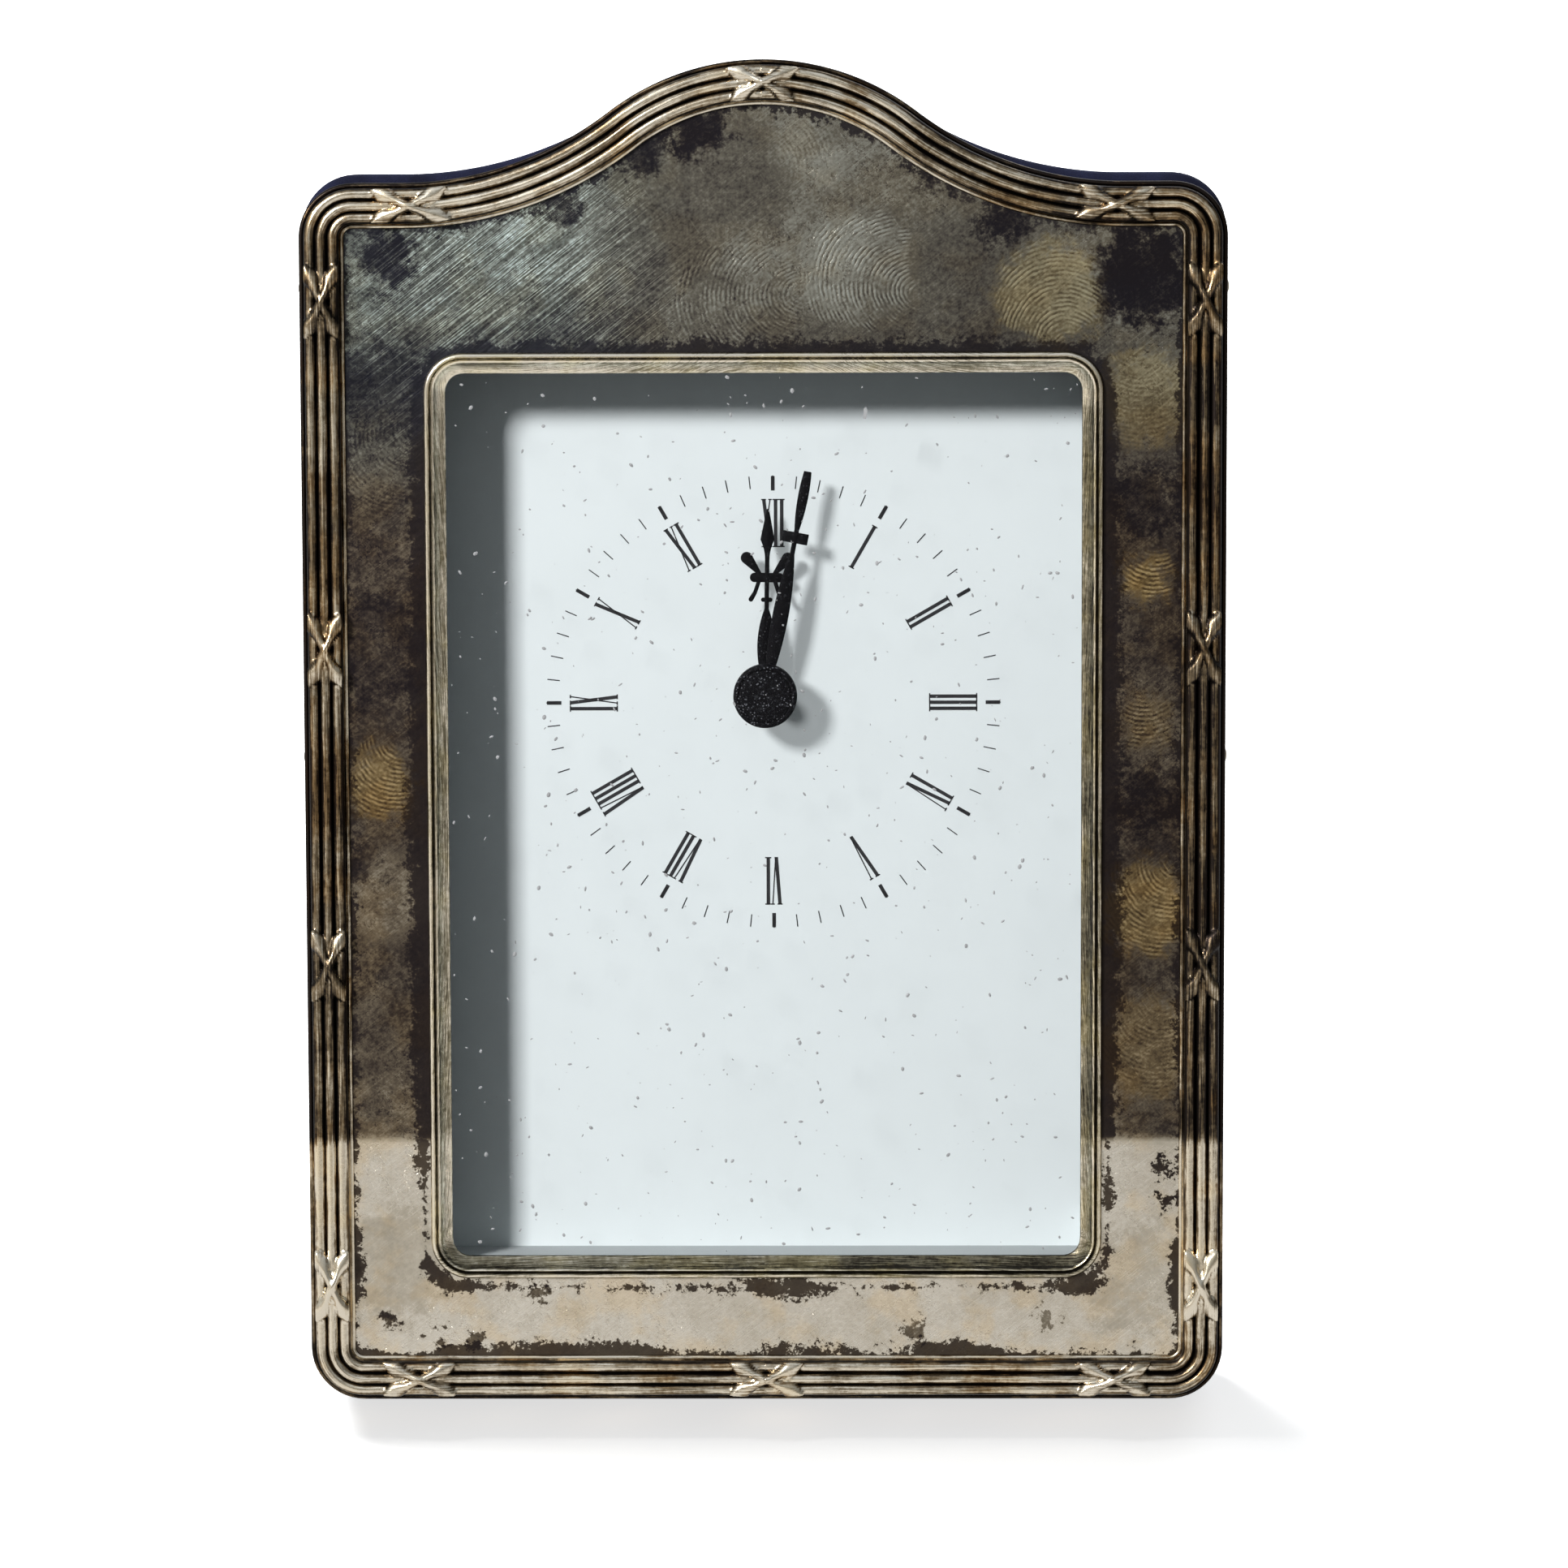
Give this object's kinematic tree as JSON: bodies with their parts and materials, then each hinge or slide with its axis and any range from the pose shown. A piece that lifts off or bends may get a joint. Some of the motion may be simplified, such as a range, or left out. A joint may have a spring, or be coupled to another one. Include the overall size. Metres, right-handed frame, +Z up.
{
  "type": "photo frame clock",
  "caption": "Bow-topped silver photo frame with a reed-and-ribbon border holding a quartz clock, on a velvet back with a folding strut; stands on a desk or shelf.",
  "frame": {"origin": "on the floor, at the centre of the box round the clock as it stands on its open strut", "axes": "+Z up, +X to the right as the dial is read, -Y towards the reader; the front leans back 14 degrees"},
  "size_m": [0.1138, 0.0594, 0.1644],
  "materials": {
    "silver": "tarnished silver, pressed sheet",
    "inner_wood": "plain unfinished",
    "brass_pins": "dulled",
    "window_glass": "clear",
    "spacer_card": "dark painted",
    "dial_card": "satin white with black print",
    "navy_velvet": "short pile",
    "brass_fittings": "lacquered",
    "foam_pad": "matte",
    "movement_plastic": "fine moulded texture",
    "pale_plastic": "moulded",
    "steel_arbor": "turned",
    "wheel_plastic": "moulded",
    "magnet": "sintered",
    "stator_steel": "stamped",
    "copper_wire": "enamelled copper",
    "board": "green",
    "cell_wrap": "plain wrapped",
    "contact_steel": "plated",
    "black_hands": "matte black"
  },
  "bodies": {
    "case": {"silver_front": "silver", "front_former": "inner_wood", "side_pins": "brass_pins", "glass": "window_glass", "dial_spacer": "spacer_card", "dial_plate": "dial_card", "back_box": "inner_wood", "velvet_cover": "navy_velvet", "back_panel": "navy_velvet", "back_screws": "brass_fittings", "fixing_pad": "foam_pad", "movement_lid": "movement_plastic", "movement_case": "movement_plastic", "mid_plate": "pale_plastic", "stator": "stator_steel", "coil_bobbin": "pale_plastic", "coil_winding": "copper_wire", "circuit_board": "board", "crystal": "contact_steel", "battery": "cell_wrap", "battery_contacts": "contact_steel", "strut_bracket": "brass_fittings", "strut_pin": "brass_fittings", "bracket_rivets": "brass_fittings"},
    "minute": {"cannon_pinion": "brass_fittings", "minute_hand": "black_hands", "hand_cap": "black_hands"},
    "hour": {"hour_wheel": "wheel_plastic", "hour_hand": "black_hands"},
    "setting": {"minute_wheel": "wheel_plastic", "setting_arbor": "steel_arbor", "setting_knob": "movement_plastic"},
    "rotor": {"rotor_pinion": "pale_plastic", "rotor_magnet": "magnet"},
    "idler": {"idler_wheel": "wheel_plastic"},
    "seconds": {"seconds_wheel": "wheel_plastic"},
    "third": {"third_wheel": "wheel_plastic"},
    "centre": {"centre_wheel": "wheel_plastic"},
    "strut": {"strut_board": "navy_velvet", "strut_clip": "brass_fittings", "clip_rivets": "brass_fittings"}
  },
  "joints": [
    {"name": "strut_fold", "type": "hinge", "parent": "case", "child": "strut", "pos_m": [0, 0.0067, 0.04972], "axis": [-1, 0, 0], "range_deg": [0, 32]},
    {"name": "minute_turn", "type": "hinge", "parent": "case", "child": "minute", "pos_m": [0, 0.01097, 0.08421], "axis": [0, 0.9703, -0.2419], "continuous": true},
    {"name": "hour_turn", "type": "hinge", "parent": "case", "child": "hour", "pos_m": [0, 0.01097, 0.08421], "axis": [0, 0.9703, -0.2419], "continuous": true},
    {"name": "setting_turn", "type": "hinge", "parent": "case", "child": "setting", "pos_m": [0.009, 0.01097, 0.08421], "axis": [0, 0.9703, -0.2419], "continuous": true},
    {"name": "rotor_turn", "type": "hinge", "parent": "case", "child": "rotor", "pos_m": [0.00113, 0.01436, 0.09782], "axis": [0, 0.9703, -0.2419], "continuous": true},
    {"name": "idler_turn", "type": "hinge", "parent": "case", "child": "idler", "pos_m": [0.00217, 0.01293, 0.09208], "axis": [0, 0.9703, -0.2419], "continuous": true},
    {"name": "seconds_turn", "type": "hinge", "parent": "case", "child": "seconds", "pos_m": [0, 0.01097, 0.08421], "axis": [0, 0.9703, -0.2419], "continuous": true},
    {"name": "third_turn", "type": "hinge", "parent": "case", "child": "third", "pos_m": [-0.0083, 0.01097, 0.08421], "axis": [0, 0.9703, -0.2419], "continuous": true},
    {"name": "centre_turn", "type": "hinge", "parent": "case", "child": "centre", "pos_m": [0, 0.01097, 0.08421], "axis": [0, 0.9703, -0.2419], "continuous": true}
  ],
  "couplings": [
    {"joint": "hour_turn", "follows": "minute_turn", "ratio": 0.083333},
    {"joint": "setting_turn", "follows": "minute_turn", "ratio": -0.33333},
    {"joint": "idler_turn", "follows": "rotor_turn", "ratio": -0.16667},
    {"joint": "seconds_turn", "follows": "rotor_turn", "ratio": 0.033333},
    {"joint": "third_turn", "follows": "rotor_turn", "ratio": -0.0044444},
    {"joint": "centre_turn", "follows": "rotor_turn", "ratio": 0.00055556}
  ]
}
